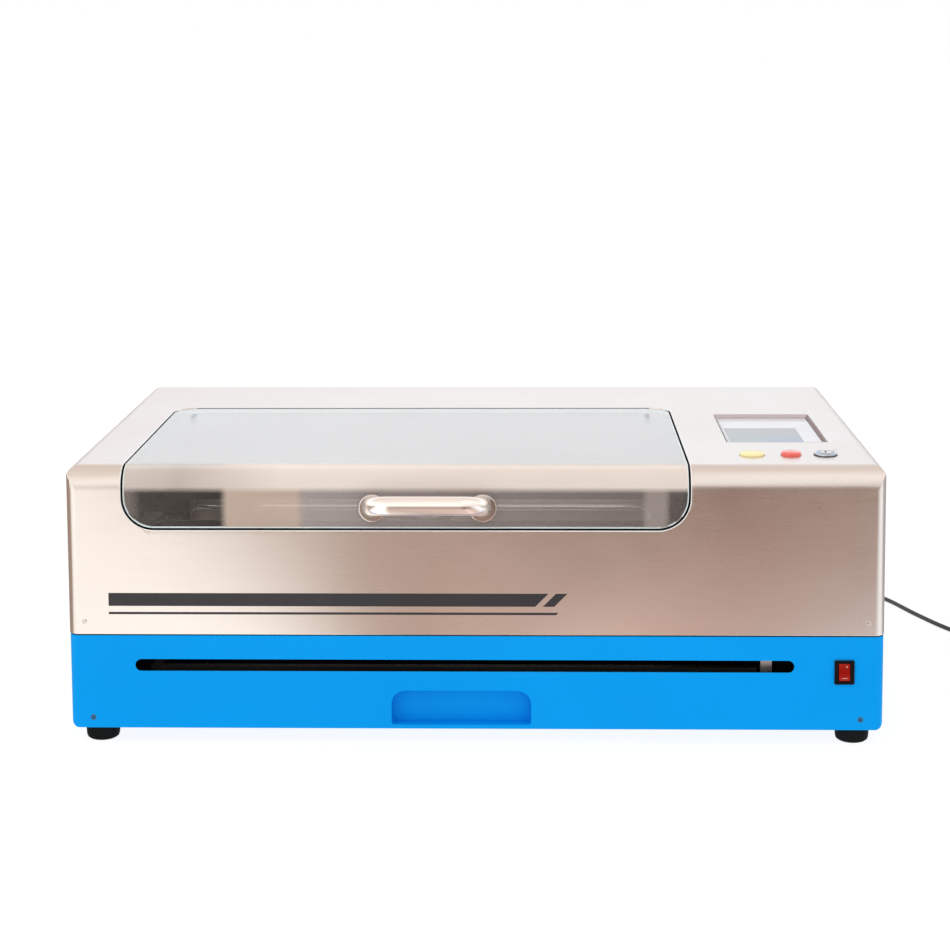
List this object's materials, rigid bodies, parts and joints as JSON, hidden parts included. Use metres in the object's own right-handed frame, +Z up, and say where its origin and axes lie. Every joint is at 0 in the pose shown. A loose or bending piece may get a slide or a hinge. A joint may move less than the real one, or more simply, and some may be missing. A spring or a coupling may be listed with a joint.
{
  "type": "desktop laser cutter",
  "caption": "Desktop laser cutter with a painted base, a folded stainless cover, a clear wrap-round hinged lid with a bow handle, a pass-through slot and a top control panel.",
  "frame": {"origin": "on the floor under the middle of the housing", "axes": "+X to the operator's right, +Y to the rear, +Z up"},
  "size_m": [1.1193, 0.686, 0.3026],
  "materials": {
    "blue_paint": "satin powder coat",
    "stainless": "brushed along the width",
    "handle_steel": "fine satin",
    "inner_steel": "zinc plated",
    "clear_acrylic": "clear polished",
    "foot_rubber": "matt",
    "seal_rubber": "matt",
    "belt_rubber": "toothed",
    "anodised": "satin anodised",
    "tube_glass": "clear",
    "black_plastic": "fine texture",
    "motor_black": "satin",
    "supply_case": "folded grey case",
    "circuit_board": "solder mask",
    "screen_glass": "glossy cover glass",
    "yellow_plastic": "satin moulded",
    "red_plastic": "gloss moulded",
    "chrome": "polished",
    "brass": "turned",
    "cord_black": "smooth sheath"
  },
  "bodies": {
    "chassis": {"base_shell": "blue_paint", "upper_cover": "stainless", "foot_front_left": "foot_rubber", "foot_front_right": "foot_rubber", "foot_rear_left": "foot_rubber", "foot_rear_right": "foot_rubber", "lid_seal": "seal_rubber", "motion_frame": "inner_steel", "chamber_side_wall": "inner_steel", "chamber_rear_wall": "inner_steel", "bed_frame": "anodised", "honeycomb_bed": "anodised", "crumb_tray": "inner_steel", "laser_tube": "tube_glass", "tube_clamp_left": "black_plastic", "tube_clamp_right": "black_plastic", "mirror_mount_rear": "anodised", "exhaust_fan_housing": "black_plastic", "exhaust_collar": "anodised", "laser_power_supply": "supply_case", "control_board": "circuit_board", "y_motor": "motor_black", "power_inlet": "black_plastic", "screen_frame": "stainless", "screen_panel": "screen_glass", "key_switch_body": "chrome", "switch_bezel": "black_plastic", "y_rail_left": "anodised", "y_rail_right": "anodised", "y_belt_left": "belt_rubber", "y_belt_right": "belt_rubber", "hinge_bracket_left": "inner_steel", "hinge_bracket_right": "inner_steel", "cord_connector": "cord_black", "power_cord": "cord_black", "cord_coil": "cord_black", "cord_tail": "cord_black", "power_plug": "cord_black"},
    "lid": {"lid_panel": "clear_acrylic", "lid_handle": "handle_steel", "handle_rosette_left": "handle_steel", "handle_rosette_right": "handle_steel", "hinge_leaf_left": "chrome", "hinge_leaf_right": "chrome"},
    "gantry": {"gantry_beam": "anodised", "gantry_truck_left": "anodised", "gantry_truck_right": "anodised", "mirror_mount_gantry": "black_plastic", "x_motor": "motor_black", "x_belt": "belt_rubber"},
    "carriage": {"carriage_plate": "anodised", "laser_head": "anodised", "nozzle": "brass"},
    "y_shaft": {"y_drive_shaft": "chrome"},
    "x_pulley": {"x_drive_pulley": "anodised"},
    "fan": {"fan_rotor": "black_plastic"},
    "yellow_button": {"yellow_button": "yellow_plastic"},
    "red_button": {"red_button": "red_plastic"},
    "key": {"key_barrel": "chrome"},
    "rocker": {"power_rocker": "red_plastic"}
  },
  "joints": [
    {"name": "lid_hinge", "type": "hinge", "parent": "chassis", "child": "lid", "pos_m": [0, 0.078, 0.29], "axis": [-1, 0, 0], "range_deg": [0, 80]},
    {"name": "gantry_slide", "type": "slide", "parent": "chassis", "child": "gantry", "axis": [0, 1, 0], "range_m": [-0.245, 0.055]},
    {"name": "carriage_slide", "type": "slide", "parent": "gantry", "child": "carriage", "axis": [1, 0, 0], "range_m": [-0.0445, 0.463]},
    {"name": "y_shaft_spin", "type": "hinge", "parent": "chassis", "child": "y_shaft", "pos_m": [0, 0.14, 0.166], "axis": [1, 0, 0], "range_deg": [-330, 1420]},
    {"name": "x_pulley_spin", "type": "hinge", "parent": "gantry", "child": "x_pulley", "pos_m": [0.218, 0.06, 0.2245], "axis": [0, 0, 1], "range_deg": [-335, 3330]},
    {"name": "fan_spin", "type": "hinge", "parent": "chassis", "child": "fan", "pos_m": [-0.072, 0.2457, 0.172], "axis": [0, 1, 0], "continuous": true},
    {"name": "yellow_press", "type": "slide", "parent": "chassis", "child": "yellow_button", "axis": [0, 0, -1], "range_m": [0, 0.003], "stiffness_N_per_m": 500},
    {"name": "red_press", "type": "slide", "parent": "chassis", "child": "red_button", "axis": [0, 0, -1], "range_m": [0, 0.004], "stiffness_N_per_m": 500},
    {"name": "key_turn", "type": "hinge", "parent": "chassis", "child": "key", "pos_m": [0.3765, -0.191, 0.298], "axis": [0, 0, -1], "range_deg": [0, 90]},
    {"name": "rocker_tip", "type": "hinge", "parent": "chassis", "child": "rocker", "pos_m": [0.3895, -0.2595, 0.079], "axis": [1, 0, 0], "range_deg": [0, 18]}
  ],
  "couplings": [
    {"joint": "y_shaft_spin", "follows": "gantry_slide", "rad_per_m": -100},
    {"joint": "x_pulley_spin", "follows": "carriage_slide", "rad_per_m": 125}
  ]
}
